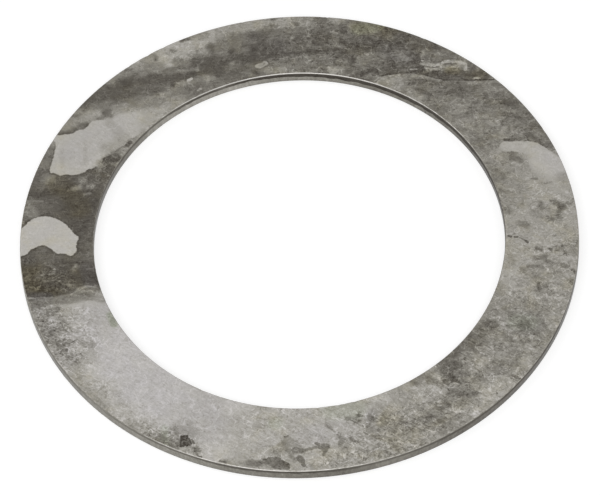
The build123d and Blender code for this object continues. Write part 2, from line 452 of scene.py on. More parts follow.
    (0.44, 0.08, 0.25, -5.9, -26, -5.6, -26.3),
    (0.88, 0.06, 0.22, -0.3, -26.8, 0.1, -27.2),
    (0.52, 0.1, 0.3, -11, -33.8, -10.2, -34),
    (0.52, 0.4, 0.7, 8.2, -28.4, 9, -29.8),
    (0.5, 0.25, 0.45, 8.6, -33.2, 10.2, -33.4),
    (0.4, 0.12, 0.25, 8.2, -34.4, 8.6, -34.5),
    (0.56, 0.15, 0.35, -17.9, -28.6, -17.4, -29),
    (0.42, 0.25, 0.4, -18.8, -30.3, -17.2, -30.9),
    (0.4, 0.15, 0.3, -18.4, -29.6, -18.3, -31),
    (0.38, 0.15, 0.3, -17.2, -30.2, -17.1, -31.4),
    (0.46, 0.15, 0.3, -16.5, -28.8, -16.4, -31.8),
    (0.68, 0.3, 0.8, -15.8, -29.2, -14.2, -29.4),
    (0.7, 0.2, 0.4, -15, -28.8, -14.8, -28),
    (0.8, 0.15, 0.3, -15.8, -32, -14.8, -32.1),
    (0.46, 0.12, 0.3, -14.2, -31.9, -14, -32.8, -13.2, -33.2),
    # the near left
    (0.5, 0.3, 0.5, -33.2, -11.2, -31, -15),
    (0.4, 0.12, 0.3, -31.2, -9.6, -31, -10.2),
    (0.64, 0.15, 0.4, -32, -10.4, -30.8, -12.6, -30.2, -13.6),
    (0.54, 0.1, 0.3, -30.8, -10.6, -29.8, -12.6),
    (0.48, 0.2, 0.4, -31.2, -14.6, -29.6, -15),
    (0.62, 0.12, 0.4, -28.6, -15.2, -27.4, -15.4, -26.6, -15.2),
    (0.6, 0.2, 0.4, -27.4, -15.6, -27, -16),
    (0.74, 0.6, 1, -27.8, -16.4, -27, -17.2),
    (0.46, 0.12, 0.3, -31.8, -16.3, -30.8, -16.6),
    (0.44, 0.15, 0.3, -29.2, -17.6, -28.8, -18.1),
    (0.66, 0.3, 0.25, -24.5, -10.9, -24, -12.4),
    (0.34, 0.12, 0.25, -26.6, -24.8, -25.9, -25.5),
    (0.72, 0.3, 0.6, -30.6, -18.4, -29.8, -19),
    (0.82, 0.5, 0.9, -24.6, -23.6, -23.4, -26.6),
    (0.88, 0.6, 0.9, -18, -27.6, -16.4, -26.2),
    (0.86, 0.6, 0.9, -12.8, -33.2, -10.6, -32.6),
    (0.88, 0.6, 1, -9.6, -25.8, -7.6, -25.4),
    (0.68, 0.4, 0.6, 0.2, -35.6, 1, -35.6),
    (0.6, 0.4, 0.6, -4.2, -33, -3.8, -33.2),
    (0.6, 0.4, 0.6, 4.8, -33, 5.4, -34.2),
    (0.82, 0.4, 0.6, 2.2, -30.4, 3, -30.6),
    # last touches, all round
    (0.43, 0.45, 0.9, 21.6, 22.5, 22.4, 22.5),
    (0.58, 0.3, 0.7, -9.1, 33.4, -8.5, 33.6),
    (0.6, 0.3, 0.7, -19.4, 30.1, -18.8, 30.3),
    (0.21, 0.25, 0.6, -33, -3.3, -32.8, -3.7),
    (0.26, 0.25, 0.6, -31.9, -1.9, -31.9, -2.3),
    (0.29, 0.25, 0.7, -29.3, -6.5, -29.3, -7.1),
    (0.54, 0.3, 0.8, 20, -22.4, 20.2, -22.8),
    (0.83, 0.3, 0.8, -2.2, -26.9, -1.6, -26.9),
    (0.66, 0.4, 0.9, 26.3, -4.8, 26.5, -5.4),
    (0.38, 0.3, 0.7, 8, 31.8, 8.6, 31.6),
]

# Where the film has come away, each patch by its outline
MITTEN = [
    (-37.5, 2.9), (-35.7, 3.3), (-34.7, 4.4), (-33.2, 5.05), (-31.6, 4.7), (-30.1, 3.7), (-29, 2.1),
    (-28.4, 1.4), (-28.7, 0.5), (-28.7, -0.7), (-29.4, -1.4), (-30.3, -0.95), (-31.2, -1), (-32, -0.1),
    (-33.1, 0.45), (-34.3, 0), (-35.4, -1), (-37.5, -1.2),
]
SHOULDER = [
    (-32.6, 17.9), (-29.3, 18.1), (-28.6, 18.5), (-27.4, 18.9), (-26.8, 19.5), (-26.3, 20.1), (-25, 20.2),
    (-24.2, 20.6), (-23.6, 21.1), (-21, 21.4), (-19, 21.2), (-18.2, 20.2), (-19.4, 18.5), (-20.9, 17.2),
    (-21.8, 16.8), (-22.4, 15.8), (-23.4, 15), (-24.4, 14.4), (-25, 14), (-25.3, 13.2), (-26.3, 12.5),
    (-27, 12.3), (-27.6, 11.8), (-28.6, 11.5), (-30, 11.6), (-30.6, 11.5), (-31.4, 11.9), (-32, 12.1),
    (-31.9, 13), (-31.5, 14.4), (-31.3, 16.9),
]
TONGUE = [
    (26.5, 12.9), (27, 13.7), (29.5, 13.75), (31.4, 13.4), (33, 12.1), (34.6, 10.2), (37, 5), (32, 6),
    (30.4, 9), (29.9, 11.6), (28.2, 12.2), (27.2, 12.1),
]
TIDE = [
    (8.5, 25.1), (11.5, 25.3), (14.5, 25.75), (17, 25.35), (19.5, 24.4), (23, 24.05), (29, 24), (28, 20),
    (20, 20), (14, 20),
]
SHELF = [
    (-37, -7.7), (-33.5, -7.65), (-31.5, -7.75), (-30.1, -7.65), (-28.9, -6.95), (-27.5, -6.15),
    (-25.8, -6.6), (-24, -7.5), (-23.5, -9.2), (-27, -9.5), (-31, -9.4), (-37, -9.3),
]
DROP = [
    (-4.8, 28), (-4.35, 28.35), (-3.95, 28.4), (-3.6, 28.7), (-3.2, 28.6), (-3.05, 28.25), (-3.5, 27.95),
    (-3.9, 27.7), (-4.5, 27.65),
]
BARE_PATCHES = [MITTEN, SHOULDER, TONGUE, TIDE, SHELF, DROP]
# The tones of the bare metal, painted over the stains
BARE_TONES = [
    (0.86, 5, 1, -34, 2, -31, 1.5),
    (0.82, 4, 1.6, -30, 15, -28, 17),
    (0.82, 0.9, 1, -22.4, 19.8, -20.8, 20, -21.6, 18),
    (0.73, 0.2, 0.7, -24.2, 19.6, -23, 18.2, -22, 17.2),
    (0.7, 0.4, 0.8, -24.6, 15.6, -23, 15.8),
    (0.52, 0.1, 0.7, -25.4, 13.2, -24.2, 14.3, -22.8, 15.2),
    (0.74, 0.3, 0.9, -19, 20.6, -19.4, 19.2),
    (0.76, 0.1, 0.4, -30.4, 15.6, -30.4, 13),
    (0.76, 0.1, 0.4, -27.4, 16.8, -27.4, 13.6),
    (0.79, 1, 1.2, 28, 13.4, 32, 12.8),
    (0.83, 1.2, 1.5, 32.2, 10.4, 34.2, 9),
    (0.66, 0.6, 1, 34.6, 7.4, 35.2, 6.2),
    (0.58, 0.6, 1.2, 12.4, 24.8, 15, 24.2),
    (0.3, 0.3, 0.7, 9.4, 25, 10.5, 24.9),
    (0.33, 0.8, 1.4, 16.8, 24.2, 18.5, 23.6, 23, 23.2),
    (0.45, 0.6, 1.2, 25.5, 23, 27.5, 22.4),
    (0.56, 0.12, 0.35, 12.5, 25.2, 15, 25.4, 17.5, 25, 19.2, 24.4),
    (0.57, 0.1, 0.25, 23, 23.7, 24.8, 23.6),
    (0.43, 0.5, 0.7, -36, -8.2, -30, -8.1, -27, -7.4),
    (0.6, 0.05, 0.2, -29, -7.7, -28, -7.1, -27, -7, -26.4, -7.4),
    (0.32, 0.06, 0.2, -28.6, -7.5, -27.8, -7.4, -27.2, -7.7),
    (0.34, 0.06, 0.2, -28.2, -6.8, -27, -6.6, -26.3, -6.9),
    (0.52, 0.06, 0.22, -30, -8.2, -26.6, -8.4),
    (0.6, 0.25, 0.5, -26.2, -8.2, -25.4, -8.5),
    (0.72, 0.6, 0.5, -4.4, 28, -3.4, 28.4),
    (0.58, 0.05, 0.25, -4.2, 28.05, -3.6, 28.3),
]

# How broken up the surface is, painted like the stains: 0 is calm and 1 is blotched all over
BROKEN_GROUND = 0.80
BROKEN = [
    (0.55, 4, 5, -25, -14, -20, -22, -12, -29),
    (0.98, 2.5, 3, 33, -5, 30, -12, 26, -19, 18, -27),
    (1.15, 2.5, 3, 5, -33, 12, -31),
    (0.8, 3, 3, -4, -29, 2, -29),
    (0.75, 3, 3, 27, 5, 27, -5),
    (1.2, 1.6, 1.6, -32.6, -11, -30.6, -16, -29.6, -18),
    (0.9, 0.8, 1.4, -28.4, -10.5, -27.4, -15),
    (0.78, 1, 2, -28.5, -20, -24.5, -26),
    (1.05, 1, 2, -20, -29.5, -15, -32),
    (0.62, 2, 2, -34, 8, -33, 14, -31, 18),
    (0.62, 3, 3, -30, 8, -30, -4),
    (1.1, 1.2, 1.2, -34.6, -5, -31, -5.4),
    (0.83, 3, 3, 25, 15, 17, 24),
    (0.64, 3, 4, -16, 29, -6, 30),
    (0.9, 3, 4, 2, 30, 14, 29),
    (0.7, 1.5, 1.5, -17, 23, -14, 24),
    (0.5, 2, 2, -29, 20, -22, 25),
]

# Where the surface is clouded over: 0 is hardly and 1 is plainly
CLOUDED = [
    (1, 3, 4, 29, 17, 21, 24, 6, 31),
    (1, 2.5, 3, 25, -17, 16, -27),
]

# Where the fine dashes run along the strip: 1 there, and 0 where they fall to the right
LEVEL = [
    (1, 6, 8, -14, 29, 22, 24),
    (0.5, 3, 4, 32, 8, 32, -2),
    (1, 5, 2, -32, 8, -32, -6),
]

# Tint of the film, painted like the stains: from cool at -1 to olive brown at 1
TINTS = [
    (1.1, 1.4, 1.6, -35, -4.8, -32.3, -5.4),
    (0.4, 1, 2, -32, -4.6, -28, -5.2),
    (0.6, 0.8, 1.4, -31, 10.2, -29, 8, -28, 6),
    (-0.8, 2.5, 4, -25, -13, -20, -21, -14, -27),
    (-1, 0.3, 0.8, -34, -7.8, -32.5, -7.8),
    (-0.5, 1, 1.5, -33.2, -10, -30.4, -17),
    (-1, 0.5, 1, -27.2, -3.6, -26.8, -5.4),
    (-0.8, 0.5, 1, 8.2, -28.4, 9, -29.8),
    (-0.7, 0.6, 1.5, 13, 29.5, 15, 28.6),
    (0.7, 0.3, 0.7, 20.7, 25.9, 21.7, 25.6),
    (0.4, 0.4, 0.8, 23, 25, 25, 25),
    (0.6, 0.5, 1.5, 13, 32.8, 9, 33.6),
    (0.2, 1, 2, 10, -29.5, 12, -32),
    (-0.6, 1, 2, -29, 15, -24, 19),
    (-0.5, 0.8, 2, -4.5, 31.2, -2, 30.5),
    (-0.6, 0.8, 1.6, 5, -30, -1, -31),
    (-0.6, 0.8, 1.6, 27, -15, 29, -15),
    (-0.5, 0.6, 1.6, 34.5, 9, 33, 12),
]

# How green the film is, painted like the stains
GREENS = [
    (1, 0.3, 0.4, -24.5, -10.9, -24, -12.4),
    (0.6, 0.6, 1.2, 27.2, -14.8, 28.8, -15),
    (0.7, 0.5, 1, 9, 33.4, 11.4, 33.8),
    (0.5, 0.8, 1.4, 3.4, -27, 6, -27),
    (0.6, 0.2, 0.6, -17.9, -28.6, -17.9, -31.4),
    (0.5, 0.4, 1, -3.9, -28.6, -4.1, -28.7),
]

# Small marks with crisp ends: tone, half width, feather, and X and Y of the start and the end
MARKS = [
    # the square mark on the near side, and what trails off it
    (0.12, 0.12, 0.08, -15.85, -29.95, -15.95, -31.45),
    (0.12, 0.2, 0.08, -15.55, -30, -15.65, -31.35),
    (0.12, 0.2, 0.08, -15.2, -30.05, -15.25, -31.3),
    (0.14, 0.2, 0.1, -14.95, -30.5, -14.8, -31.15),
    (0.36, 0.1, 0.12, -14.6, -30.6, -14.3, -31.1),
    (0.38, 0.07, 0.14, -14.25, -31.9, -13.95, -32.8),
    (0.36, 0.06, 0.12, -13.9, -33, -13.4, -33.2),
    (0.36, 0.06, 0.12, -11.1, -33.9, -10.4, -34.15),
    # the squiggle on the right
    (0.26, 0.1, 0.12, 26.9, -1.3, 27.2, -1.4),
    (0.26, 0.1, 0.12, 27.7, -1.5, 28, -1.5),
    (0.44, 0.04, 0.1, 28.3, -1.6, 29, -2.1),
    (0.18, 0.12, 0.12, 29.1, -2.2, 29.3, -2.4),
    # the edge of the shelf on the left
    (0.54, 0.06, 0.1, -29.8, -7.7, -28.7, -6.95),
    (0.58, 0.06, 0.1, -28.7, -6.95, -27.4, -6.3),
    (0.56, 0.06, 0.1, -27.4, -6.25, -26.3, -6.5),
    (0.58, 0.05, 0.1, -35.2, -7.85, -34.4, -7.8),
    (0.3, 0.08, 0.12, -35.3, -8.15, -34.2, -8.05),
    # bright specks
    (0.84, 0.14, 0.1, -13.7, 26.1, -13.25, 26.35),
    (0.66, 0.12, 0.12, -12.4, 24.4, -12.1, 24.6),
    (0.86, 0.1, 0.1, 34.7, 5.3, 34.9, 5.15),
    (0.76, 0.08, 0.1, 17.15, 27.7, 17.25, 27.65),
    (0.66, 0.05, 0.1, 15.6, 26.3, 16.4, 26.3),
    (0.64, 0.08, 0.1, -31.6, -3.4, -31.5, -3.45),
    # the curl on the far right
    (0.64, 0.07, 0.12, 17.4, 27.15, 19.2, 26.85),
    (0.76, 0.1, 0.12, 19.2, 26.9, 20.3, 27.3),
    (0.76, 0.11, 0.12, 20.3, 27.3, 22.2, 27.2),
    (0.74, 0.11, 0.12, 22.2, 27.2, 22.9, 26.75),
    (0.72, 0.11, 0.12, 22.9, 26.7, 22.75, 25.8),
    (0.62, 0.06, 0.12, 17.6, 26.4, 19.4, 26.1),
    (0.6, 0.06, 0.12, 19.55, 27.1, 19.7, 25.9),
    (0.68, 0.07, 0.12, 23.9, 24.4, 24.6, 24.35),
    # the dark line along the tide
    (0.16, 0.05, 0.1, 19.8, 24.35, 22.5, 24.15),
    (0.13, 0.07, 0.1, 22.5, 24.15, 26.4, 24.05),
    # round the patches on the left
    (0.44, 0.06, 0.15, -35.5, 7.7, -33, 7.5),
    (0.2, 0.2, 0.2, -21.85, 15.9, -21.5, 16.35),
    (0.36, 0.08, 0.18, -23.4, 14.9, -22.4, 15.7),
    # the near side
    (0.42, 0.34, 0.2, -1.7, -32.8, -1, -32.9),
    (0.46, 0.12, 0.2, -0.6, -32.9, 0.9, -32.5),
    (0.38, 0.15, 0.15, 1, -31.9, 1.4, -32.2),
    (0.42, 0.34, 0.18, 1.6, -32.4, 2.3, -32.4),
    (0.42, 0.24, 0.18, 1.8, -32.6, 2.1, -33),
    (0.44, 0.12, 0.18, 2.1, -32.8, 1.9, -33.7),
    (0.34, 0.05, 0.12, -2.9, -30.7, -2.5, -30.6),
    (0.4, 0.38, 0.12, -1.15, -34, -0.9, -34.4),
    (0.36, 0.2, 0.12, -0.85, -34.6, -0.65, -35.1),
    (0.54, 0.06, 0.16, 2.4, -29.3, 2.9, -29.8),
    (0.5, 0.08, 0.14, 3.1, -30, 3.4, -30.3),
    # the strip by the near rim
    (0.4, 0.26, 0.2, -7.5, -34.4, -6.3, -34.6),
    (0.36, 0.3, 0.12, -5.5, -34.2, -5.2, -34.4),
    (0.29, 0.46, 0.12, -4.7, -34.4, -4.1, -34.7),
    (0.31, 0.46, 0.12, -3.5, -34.6, -2.95, -35),
    (0.33, 0.4, 0.12, -4.9, -34.1, -3.9, -34.2),
    (0.33, 0.4, 0.12, -4.5, -34.9, -3.4, -35.15),
    (0.34, 0.3, 0.12, -3.1, -35.2, -2.75, -35.3),
    (0.42, 0.08, 0.12, -4.9, -34.8, -4.2, -34.3),
    (0.6, 0.12, 0.14, -5.3, -35.1, -4.9, -35.2),
    # the near right
    (0.28, 0.5, 0.2, 18.2, -21.1, 19.4, -20.95),
    (0.28, 0.34, 0.2, 18.4, -22.7, 18.8, -23.2),
    (0.78, 0.05, 0.15, 30.2, -11, 33.4, -11.35),
]

# How far the stains, and then the spots, stray from their paths: the drifts and the first seed of each.
# The film nearby strays further, and lies as flecks in the film.
FILMS = {
    "film": ((((0.5, 6.0), (0.18, 2.0)), 1), (((0.05, 6.0), (0.05, 2.0)), 5)),
    "film nearby": ((((0.9, 6.0), (0.5, 2.0)), 11), (((0.18, 6.0), (0.32, 2.0)), 15)),
}

# Colours of the steel along its tones, from dark film to bright metal, as levels on a screen
STEEL_TONES = [
    (0.00, (59, 54, 47)),
    (0.25, (95, 91, 84)),
    (0.50, (129, 126, 118)),
    (0.75, (162, 159, 152)),
    (1.00, (196, 193, 189)),
]
OLIVE_TINT = (255, 250, 228)
COOL_TINT = (250, 250, 255)
GREEN_TINT = (247, 254, 243)
HUE_SWAY = 0.4  # how far the tint sways over the face

# The textures of the rolled faces: what each adds to the tone where it is full, and to the height
CLOUD_SHIFTS = (0.025, 0.08)  # where the surface is hardly clouded and where it plainly is
SHIFTS = {
    "mottle": 0.048, "chips": 0.038, "creases": -0.20, "ridges": 0.22, "ripples": 0.11, "light dashes": 0.08,
    "dark dashes": -0.06, "dark patches": -0.14, "light patches": 0.10, "grit": 0.10, "specks": -0.20,
    "flecks": 0.11, "outline": -0.09,
}
RELIEF = {"mottle": 0.8, "specks": -1.0, "creases": -1.5, "ridges": 1.5, "ripples": 1.0}
# the spans over which they come in
FLAKING = (-0.15, 0.15)
FLAKING_WHERE = (0.5, 1.0, 0.4, 1.0)  # how broken up the surface is at both ends, and the flakes there
OUTLINE_STEPS = (0.10, 0.35)  # by how much the bare metal is brighter than the film
CALM_TONES = (0.55, 0.75)  # of bare metal, on which the textures are weaker
CALM = 0.4
CLOUDING = (-0.45, 0.45, -1.0, 1.0)
CHIPPING = 0.20
DASHING = (0.3, 0.6)
PATCH_LEVEL = 0.95  # of the mottle where it turns into patches, on a calm surface
PATCH_GAIN = -0.7  # what a broken surface adds to that
PATCH_SOFTNESS = 0.15
GRIT_MIDDLE = 0.61

# What the textures of the cut edge and of the broken edge add to the tone
LAND_SHIFTS = {"lines": 0.25, "clouds": 0.07, "flecks": 0.11}
BREAK_SHIFTS = {"grit": 0.06, "clouds": 0.05}
EDGE_SHIFTS = {"clouds": 0.28, "grit": 0.18}
LAND_SHADE = (-0.06, 0.02)  # painted shade, at the die roll and well above it
LAND_SHADE_TOP = 3 * DIE_ROLL_HEIGHT
WORN_AND_LIT_DEPTH = 4 * EDGE_RADIUS  # the edge's wear and painted highlight reach this far down the walls from the top face
UPRIGHT = (1.0, 1.0, 0.25)  # draws a texture out from one face towards the other

# The heights of the bumps
FACE_RELIEF = 0.010
WALL_RELIEF = 0.012
EDGE_RELIEF = 0.006
LINE_RELIEF = 0.5  # of the die's lines, as a share of the wall's

# How metallic and how rough a surface is, from one tone to another: both tones, then both values
FACE_METAL = (0.1, 0.8, 0.75, 1.0)
FACE_ROUGHNESS = (0.1, 0.9, 0.55, 0.36)
EDGE_ROUGHNESS = (0.3, 0.9, 0.50, 0.28)
# the same on the land and on the break
WALL_METAL = (1.0, 0.85)
WALL_ROUGHNESS = (0.36, 0.62)

# Noise keeps near its middle, and these bring it out to about -1 and 1
NOISE_GAIN = 5.0
FRAY_GAIN = 4.0
NOISE_MIDDLE = (0.5, 0.5, 0.5)
MARK_RAGGEDNESS = (0.20, 0.20, 0.0)
HAIR = 1e-5  # by which the place of a mark hangs on the tone

# The camera stands well back with a long lens, a little turned about its own axis
CAMERA_ELEVATION = 54.45
CAMERA_DISTANCE = 690.5
CAMERA_TARGET = (0.05, -0.43, 0.0)
CAMERA_ROLL = -2.5
LENS = 321.2
SENSOR_WIDTH = 36.0
CLIP_START = 10.0
CLIP_END = 100000.0

# The studio
FILL_LIGHT = 0.50  # what the world gives to matt surfaces, where 1 lights a colour as it is written
FLOOR_WIDTH = 6000.0
FLOOR_DROP = 0.02
FLOOR_GREY = 0.45
FLOOR_GLOW = 0.66
# direction from the ring, distance, width and the share of the light that a level matt face gets from it
LAMPS = {
    "key_lamp": ((-0.15, -0.85, 0.75), 900.0, 700.0, 0.28),
    "left_lamp": ((-0.90, 0.20, 0.80), 900.0, 700.0, 0.14),
    "right_lamp": ((0.95, -0.10, 0.80), 900.0, 700.0, 0.08),
}


def smooth(share):
    """Eases a share from 0 to 1 in and out."""
    share = np.clip(share, 0, 1)
    return share * share * (3 - 2 * share)


def drift(place, wavelength, seed):
    """A smooth random field over the places, mostly between -1 and 1, made of a few crossing waves."""
    dice = np.random.default_rng(seed)
    waves = 6
    pitches = (0.6, 1.6)
    total = np.zeros(len(place))
    for _ in range(waves):
        turn, phase = dice.uniform(0, 2 * math.pi, 2)
        pitch = wavelength * dice.uniform(*pitches)
        along = place[:, 0] * math.cos(turn) + place[:, 1] * math.sin(turn)
        total += np.sin(2 * math.pi * along / pitch + phase)
    return total / math.sqrt(waves)


def drifts(place, parts, seed):
    """The sum of drifts, each given as strength and wavelength, with seeds that count up from the first."""
    return sum(strength * drift(place, length, seed + step) for step, (strength, length) in enumerate(parts))


def strays(place, parts, seed):
    """How far a stain strays from its path at each place, along X and along Y."""
    return np.stack([drifts(place, parts, seed), drifts(place, parts, seed + len(parts))], axis=1)


def distance_to_path(place, path):
    """How far each place is from a path of straight runs, given by X and Y of its points in turn."""
    nearest = np.full(len(place), np.inf)
    points = np.array(path, float).reshape(-1, 2)
    for start, end in zip(points[:-1], points[1:]):
        run = end - start
        share = np.clip((place - start) @ run / (run @ run), 0, 1)
        nearest = np.minimum(nearest, np.hypot(*(place - start - share[:, None] * run).T))
    return nearest


def painted(place, ground, strokes):
    """The value at each place, after the strokes are laid one by one on a ground of one value or many."""
    value = np.zeros(len(place)) + ground
    for level, reach, feather, *path in strokes:
        cover = smooth((reach + feather - distance_to_path(place, path)) / feather)
        value += cover * (level - value)
    return value


def rounded(outline, steps=6):
    """A closed smooth curve through the points of an outline, as Catmull and Rom draw it."""
    points = np.array(outline, float)
    before, after, beyond = (np.roll(points, shift, axis=0) for shift in (1, -1, -2))
    curve = [
        0.5 * (2 * points + (after - before) * t
               + (2 * before - 5 * points + 4 * after - beyond) * t**2
               + (3 * points - before - 3 * after + beyond) * t**3)
        for t in np.linspace(0, 1, steps, endpoint=False)
    ]
    return np.stack(curve, axis=1).reshape(-1, 2)


def depth_inside(place, outline):
    """How far each place lies inside a rounded outline, less than 0 outside it."""
    curve = rounded(outline)
    closed = np.vstack([curve, curve[:1]])
    inside = np.zeros(len(place), bool)
    for (x0, y0), (x1, y1) in zip(closed[:-1], closed[1:]):
        if y0 != y1:
            crosses = (place[:, 1] < y0) != (place[:, 1] < y1)
            inside ^= crosses & (place[:, 0] < x0 + (place[:, 1] - y0) * (x1 - x0) / (y1 - y0))
    distance = distance_to_path(place, closed)
    return np.where(inside, distance, -distance)


def around(turn, stops):
    """The value at each turn about the axis, between the stops, which give an angle and a value."""
    angles, values = zip(*stops)
    return np.interp(np.degrees(turn), angles, values, period=360)


def tear_height(turn, breaks, seed):
    """The height where the land ends and the break begins, which wanders as it goes round."""
    place = RIM_RADIUS * np.stack([np.cos(turn), np.sin(turn)], axis=-1)
    return THICKNESS - around(turn, breaks) * (1 + drifts(place, TEAR_DRIFTS, seed))


def wall_rows(land_radius, metal_side, tear):
    """The rows up one cut edge, as radius and height all round, and the radius where its top face begins.

    metal_side is -1 where the metal lies towards the axis, as at the rim, and +1 in the bore.
    """
    level = np.ones(SEGMENTS)
    rows = []
    roll_radius = (DIE_ROLL_WIDTH**2 + DIE_ROLL_HEIGHT**2) / (2 * DIE_ROLL_HEIGHT)
    roll_sweep = math.asin(DIE_ROLL_WIDTH / roll_radius)
    foot = land_radius + metal_side * DIE_ROLL_WIDTH
    for turn in np.linspace(0, roll_sweep, DIE_ROLL_ROWS, endpoint=False):
        radius = foot - metal_side * roll_radius * math.sin(turn)
        rows.append((radius * level, roll_radius * (1 - math.cos(turn)) * level))
    for share in np.linspace(0, 1, LAND_ROWS, endpoint=False):
        rows.append((land_radius * level, DIE_ROLL_HEIGHT + share * (tear - DIE_ROLL_HEIGHT)))
    lean = math.atan(BREAK_LEAN / BREAK_HEIGHT)
    head = land_radius + metal_side * (BREAK_LEAN + EDGE_RADIUS * math.tan((math.pi / 2 - lean) / 2))
    edge_foot = head - metal_side * EDGE_RADIUS * math.cos(lean)
    break_end = THICKNESS - EDGE_RADIUS * (1 - math.sin(lean))
    for share in np.linspace(0, 1, BREAK_ROWS, endpoint=False):
        radius = land_radius + share * (edge_foot - land_radius)
        rows.append((radius * level, tear + share * (break_end - tear)))
    for turn in np.linspace(lean, math.pi / 2, EDGE_ROWS, endpoint=False):
        radius = head - metal_side * EDGE_RADIUS * math.cos(turn)
        rows.append((radius * level, (THICKNESS - EDGE_RADIUS * (1 - math.sin(turn))) * level))
    return rows, head


def section_rows(rim_tear, bore_tear):
    """The rows once round the section, as radius and height, and the surface that each of them begins."""
    level = np.ones(SEGMENTS)
    up_the_rim, rim_head = wall_rows(RIM_RADIUS, -1, rim_tear)
    up_the_bore, bore_head = wall_rows(BORE_RADIUS, +1, bore_tear)
    feet = np.linspace(
        BORE_RADIUS + DIE_ROLL_WIDTH, RIM_RADIUS - DIE_ROLL_WIDTH, BOTTOM_ROWS, endpoint=False)
    heads = np.linspace(rim_head, bore_head, TOP_ROWS, endpoint=False)
    bottom = [(radius * level, 0 * level) for radius in feet]
    top = [(radius * level, THICKNESS * level) for radius in heads]
    down_the_bore = [(bore_head * level, THICKNESS * level)] + up_the_bore[:0:-1]
    counts = {"die roll": DIE_ROLL_ROWS, "land": LAND_ROWS, "break": BREAK_ROWS, "edge": EDGE_ROWS}
    wall = [name for name, count in counts.items() for _ in range(count)]
    surfaces = ["bottom"] * BOTTOM_ROWS + wall + ["top"] * TOP_ROWS + wall[::-1]
    rows = np.array(bottom + up_the_rim + top + down_the_bore)
    return rows[:, 0], rows[:, 1], surfaces


def pitted(turn, radius, height, at_rim, on_break, above_tear):
    """The radius with the pits of the break, which fade out at the tear line and at the broken edge."""
    share_up = np.clip(above_tear / (above_tear + THICKNESS - height - EDGE_RADIUS), 0, 1)
    # the pits are half as high as they are wide
    spread = np.stack([(radius * turn).ravel(), 2 * height.ravel()], axis=1)
    pits = np.clip(PIT_GROUND + drifts(spread, PIT_DRIFTS, PIT_SEED), 0, 1).reshape(radius.shape)
    return radius + np.where(at_rim, -1, 1) * on_break * PIT_DEPTH * np.sin(math.pi * share_up) * pits


def knocked(place, knocks, radii, height, outwards, upwards):
    """The places after a number of small hollows, each about a random middle at that height.

    outwards and upwards say which way a hollow pushes the metal, as shares of its depth.
    """
    seed, count, depths, widths = knocks
    dice = np.random.default_rng(seed)
    for _ in range(count):
        turn = dice.uniform(0, 2 * math.pi)
        outward = np.array([math.cos(turn), math.sin(turn), 0.0])
        middle = dice.uniform(*radii) * outward + (0, 0, height)
        depth = dice.uniform(*depths)
        width = dice.uniform(*widths)
        near = smooth(1 - np.linalg.norm(place - middle, axis=1) / width)
        place = place + depth * near[:, None] * (outwards * outward + (0, 0, upwards))
    return place


def ring_mesh():
    """The ring as one closed mesh, with its relief, its map and the painted values of its surface."""
    turn = np.radians(np.arange(SEGMENTS) * 360 / SEGMENTS)
    rim_tear, bore_tear = (
        tear_height(turn, breaks, seed) for breaks, seed in zip((RIM_BREAKS, BORE_BREAKS), TEAR_SEEDS))
    radius, height, surfaces = section_rows(rim_tear, bore_tear)
    at_rim = radius > (RIM_RADIUS + BORE_RADIUS) / 2
    on_break = np.array([name == "break" for name in surfaces])[:, None]
    above_tear = height - np.where(at_rim, rim_tear, bore_tear)
    radius = pitted(turn, radius, height, at_rim, on_break, above_tear)

    place = np.stack([radius * np.cos(turn), radius * np.sin(turn), height], axis=-1).reshape(-1, 3)
    face = (BORE_RADIUS + DENT_MARGIN, RIM_RADIUS - DENT_MARGIN)
    for knocks, radii, level, outwards, upwards in (
            (RIM_KNOCKS, (RIM_RADIUS, RIM_RADIUS), THICKNESS, -KNOCK_SLANT, -KNOCK_SLANT),
            (BORE_KNOCKS, (BORE_RADIUS, BORE_RADIUS), THICKNESS, KNOCK_SLANT, -KNOCK_SLANT),
            (TOP_DENTS, face, THICKNESS, 0, -1),
            (BOTTOM_DENTS, face, 0, 0, 1)):
        place = knocked(place, knocks, radii, level, outwards, upwards)

    count = len(surfaces)
    row = np.arange(count)[:, None]
    step = np.arange(SEGMENTS)
    near, far = row * SEGMENTS, (row + 1) % count * SEGMENTS
    ahead = (step + 1) % SEGMENTS
    corners = np.stack([near + step, near + ahead, far + ahead, far + step], axis=-1)
    mesh = bpy.data.meshes.new("dressed_ring")
    mesh.from_pydata(place * MM, [], corners.reshape(-1, 4).tolist())
    finishes = np.repeat([FINISH_OF[name] for name in surfaces], SEGMENTS)
    mesh.polygons.foreach_set("material_index", finishes)
    mesh.polygons.foreach_set("use_smooth", np.ones(len(mesh.polygons), bool))
    lay_map(mesh, radius.mean(axis=1), height.mean(axis=1))
    below = np.repeat([name in ("bottom", "die roll") for name in surfaces], SEGMENTS)
    paint(mesh, place, below)
    note(mesh, "above tear", above_tear.ravel())
    # the tones round the walls and edges hold painted shade and painted highlight along with the steel's own
    # tone
    for name, rim_stops, bore_stops in (
            ("land tone", RIM_LANDS, BORE_LANDS), ("break tone", RIM_TEARS, BORE_TEARS),
            ("edge tone and highlight", RIM_EDGES, BORE_EDGES)):
        note(mesh, name, np.where(at_rim, around(turn, rim_stops), around(turn, bore_stops)).ravel())
    return mesh


